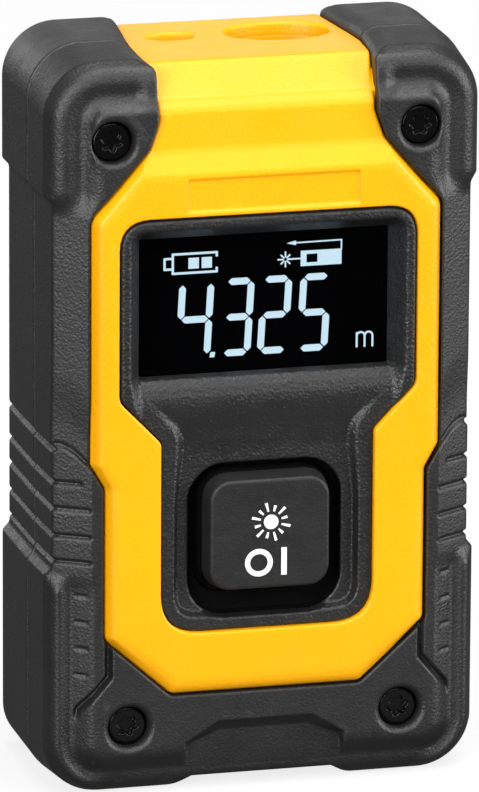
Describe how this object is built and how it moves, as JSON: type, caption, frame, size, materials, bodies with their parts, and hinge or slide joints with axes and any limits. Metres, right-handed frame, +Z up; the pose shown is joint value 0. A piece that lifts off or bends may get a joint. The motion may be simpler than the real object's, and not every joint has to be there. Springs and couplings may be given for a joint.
{
  "type": "laser distance meter",
  "caption": "Pocket laser distance meter: two-shell rubber-clad case with a display, one measuring key, laser and receiver ports in the top and a covered charging socket in the base.",
  "frame": {"origin": "centre of the base, on the plane of the feet, under the middle of the overall depth", "axes": "+Z up along the body from the feet to the laser ports; the display and key face -Y; +X to the right seen from the display side"},
  "size_m": [0.0512, 0.0256, 0.0857],
  "materials": {
    "yellow_housing": "satin moulded",
    "rubber_overmould": "fine grained, matte",
    "dark_housing": "fine grained, matte",
    "bezel_plastic": "fine grained, matte",
    "key_rubber": "smooth matte with a pale printed symbol",
    "display_glass": "clear, dark behind",
    "black_screw": "black oxide",
    "plated_screw": "zinc plated",
    "seal_rubber": "soft",
    "display_cell": "glossy",
    "white_plastic": "matte",
    "circuit_board": "solder mask",
    "chip_black": "moulded",
    "cream_plastic": "matte",
    "flex_film": "polyimide film",
    "tin_plate": "tinned",
    "cell_wrap": "foil pouch",
    "red_wire": "insulation",
    "black_wire": "insulation",
    "optical_black": "matte, filled",
    "optical_glass": "polished, coated",
    "filter_glass": "dyed",
    "brass": "turned",
    "gold_plate": "plated",
    "rating_plate": "satin, blank"
  },
  "bodies": {
    "case": {"battery_cell": "cell_wrap", "battery_connector": "cream_plastic", "battery_lead_black": "black_wire", "battery_lead_red": "red_wire", "battery_pad": "seal_rubber", "block_screw_1": "plated_screw", "block_screw_2": "plated_screw", "board_screw_1": "plated_screw", "board_screw_2": "plated_screw", "case_screw_1": "black_screw", "case_screw_2": "black_screw", "case_screw_3": "black_screw", "case_screw_4": "black_screw", "case_seal": "seal_rubber", "charging_socket": "tin_plate", "collimator_lens": "optical_glass", "cover_anchor": "rubber_overmould", "display_backlight": "white_plastic", "display_bezel": "bezel_plastic", "display_carrier": "white_plastic", "display_flex": "flex_film", "display_panel": "display_cell", "display_window": "display_glass", "flex_connector": "cream_plastic", "front_housing": "yellow_housing", "front_overmould": "rubber_overmould", "laser_barrel": "brass", "laser_diode": "gold_plate", "laser_window": "optical_glass", "light_sensor": "gold_plate", "main_board": "circuit_board", "main_processor": "chip_black", "optical_block": "optical_black", "optical_filter": "filter_glass", "rating_plate": "rating_plate", "rear_housing": "dark_housing", "rear_overmould": "rubber_overmould", "receiver_lens": "optical_glass", "sensor_board": "circuit_board", "shield_can": "tin_plate", "socket_tongue": "chip_black", "sounder": "chip_black", "switch_body": "chip_black", "window_seal": "seal_rubber"},
    "key": {"measure_key": "key_rubber"},
    "plunger": {"switch_plunger": "chip_black"},
    "cover": {"port_cover": "rubber_overmould"}
  },
  "joints": [
    {"name": "key_press", "type": "slide", "parent": "case", "child": "key", "axis": [0, 1, 0], "range_m": [0, 0.0006], "stiffness_N_per_m": 2500, "springref_m": -0.0004},
    {"name": "plunger_press", "type": "slide", "parent": "case", "child": "plunger", "axis": [0, 1, 0], "range_m": [0, 0.0006]},
    {"name": "cover_hinge", "type": "hinge", "parent": "case", "child": "cover", "pos_m": [0, 0.00895, 0.001], "axis": [1, 0, 0], "range_deg": [0, 105]}
  ],
  "couplings": [
    {"joint": "plunger_press", "follows": "key_press", "ratio": 1}
  ]
}
